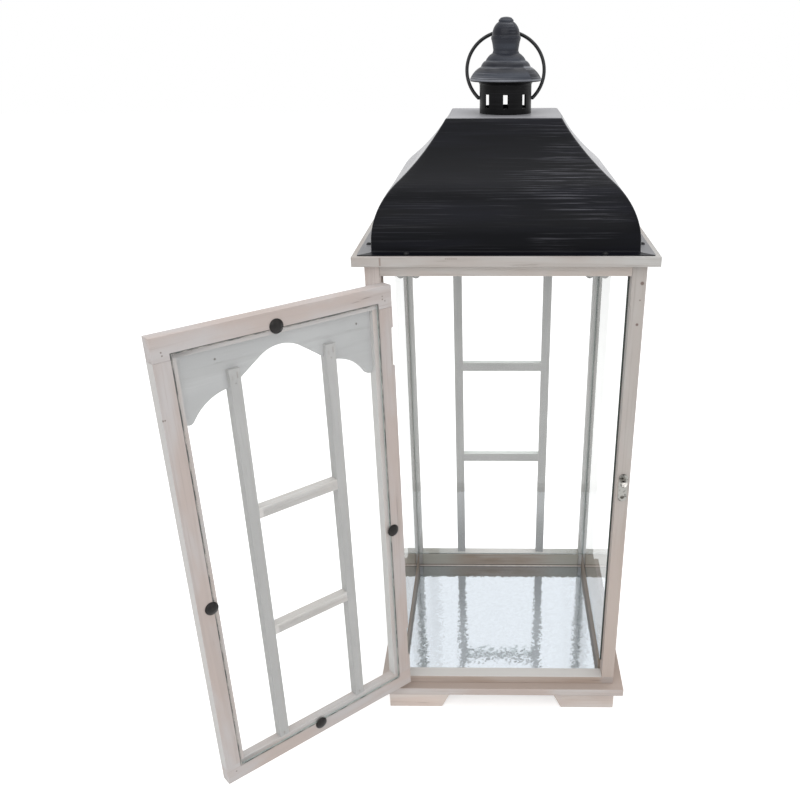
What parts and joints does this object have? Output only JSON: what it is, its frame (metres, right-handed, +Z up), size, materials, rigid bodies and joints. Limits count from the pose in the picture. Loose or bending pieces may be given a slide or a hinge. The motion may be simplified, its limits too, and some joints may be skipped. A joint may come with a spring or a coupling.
{
  "type": "candle lantern",
  "caption": "Tall square floor-standing candle lantern: whitewashed timber and glass body, hinged fretwork door, black pressed roof, slotted chimney and ring handle.",
  "frame": {"origin": "on the ground under the centre of the lantern's body, without the open door", "axes": "+Z up, -Y out through the door opening, +X to the right of someone who faces the door opening"},
  "size_m": [0.4519, 0.4718, 0.776],
  "materials": {
    "whitewashed_wood": "whitewashed softwood with the grain showing",
    "grey_wood": "grey-brown washed softwood",
    "fretwork_wood": "thin pale grey paint on softwood",
    "clear_glass": "clear float glass",
    "galvanised_sheet": "spangled galvanised sheet, mirror-like at a low angle",
    "black_sheet": "satin black paint, dry-brushed with pale grey",
    "slate_sheet": "satin slate paint, dry-brushed with grey",
    "black_wire": "satin black paint on wire",
    "plated_steel": "nickel plated",
    "dark_steel": "dark steel",
    "black_plastic": "domed, semi-gloss black"
  },
  "bodies": {
    "lantern": {"foot_front_left": "whitewashed_wood", "foot_front_right": "whitewashed_wood", "foot_back_left": "whitewashed_wood", "foot_back_right": "whitewashed_wood", "base_board": "whitewashed_wood", "sill_front": "whitewashed_wood", "rail_back": "grey_wood", "rail_left": "grey_wood", "rail_right": "grey_wood", "floor_board": "grey_wood", "floor_sheet": "galvanised_sheet", "post_front_left": "whitewashed_wood", "post_front_right": "whitewashed_wood", "post_back_left": "whitewashed_wood", "post_back_right": "whitewashed_wood", "header_front": "whitewashed_wood", "header_back": "whitewashed_wood", "header_left": "whitewashed_wood", "header_right": "whitewashed_wood", "top_board_front": "whitewashed_wood", "top_board_back": "whitewashed_wood", "top_board_left": "whitewashed_wood", "top_board_right": "whitewashed_wood", "pane_left": "clear_glass", "pane_right": "clear_glass", "pane_back": "clear_glass", "back_valance": "fretwork_wood", "back_mullion_left": "fretwork_wood", "back_mullion_right": "fretwork_wood", "back_crossbars": "fretwork_wood", "back_nails": "dark_steel", "roof_shell": "black_sheet", "roof_screws": "dark_steel", "chimney_tube": "black_sheet", "chimney_cap": "slate_sheet", "finial": "slate_sheet", "hinge_leaves_post": "plated_steel", "hinge_pins": "plated_steel", "hinge_screws_post": "plated_steel", "catch_plate": "plated_steel", "catch_stud": "plated_steel", "catch_screw": "plated_steel"},
    "door": {"door_stile_hinge": "whitewashed_wood", "door_stile_latch": "whitewashed_wood", "door_rail_top": "whitewashed_wood", "door_rail_bottom": "whitewashed_wood", "door_pane": "clear_glass", "door_valance": "fretwork_wood", "door_mullion_left": "fretwork_wood", "door_mullion_right": "fretwork_wood", "door_crossbars": "fretwork_wood", "door_nails": "dark_steel", "pane_retainers": "black_plastic", "hinge_leaves_door": "plated_steel", "hinge_screws_door": "plated_steel", "latch_plate": "plated_steel", "latch_rivet": "plated_steel", "latch_screw": "plated_steel"},
    "latch": {"latch_hook": "plated_steel"},
    "ring": {"ring_handle": "black_wire"}
  },
  "joints": [
    {"name": "door_hinge", "type": "hinge", "parent": "lantern", "child": "door", "pos_m": [-0.1228, -0.1417, 0.297], "axis": [0, 0, -1], "range_deg": [-137, 43]},
    {"name": "latch_swing", "type": "hinge", "parent": "door", "child": "latch", "pos_m": [-0.29341, -0.30449, 0.322], "axis": [-0.682, 0.7314, 0], "range_deg": [-90, 90]},
    {"name": "handle_swing", "type": "hinge", "parent": "lantern", "child": "ring", "pos_m": [0, 0, 0.701], "axis": [-1, 0, 0], "range_deg": [0, 73]}
  ]
}
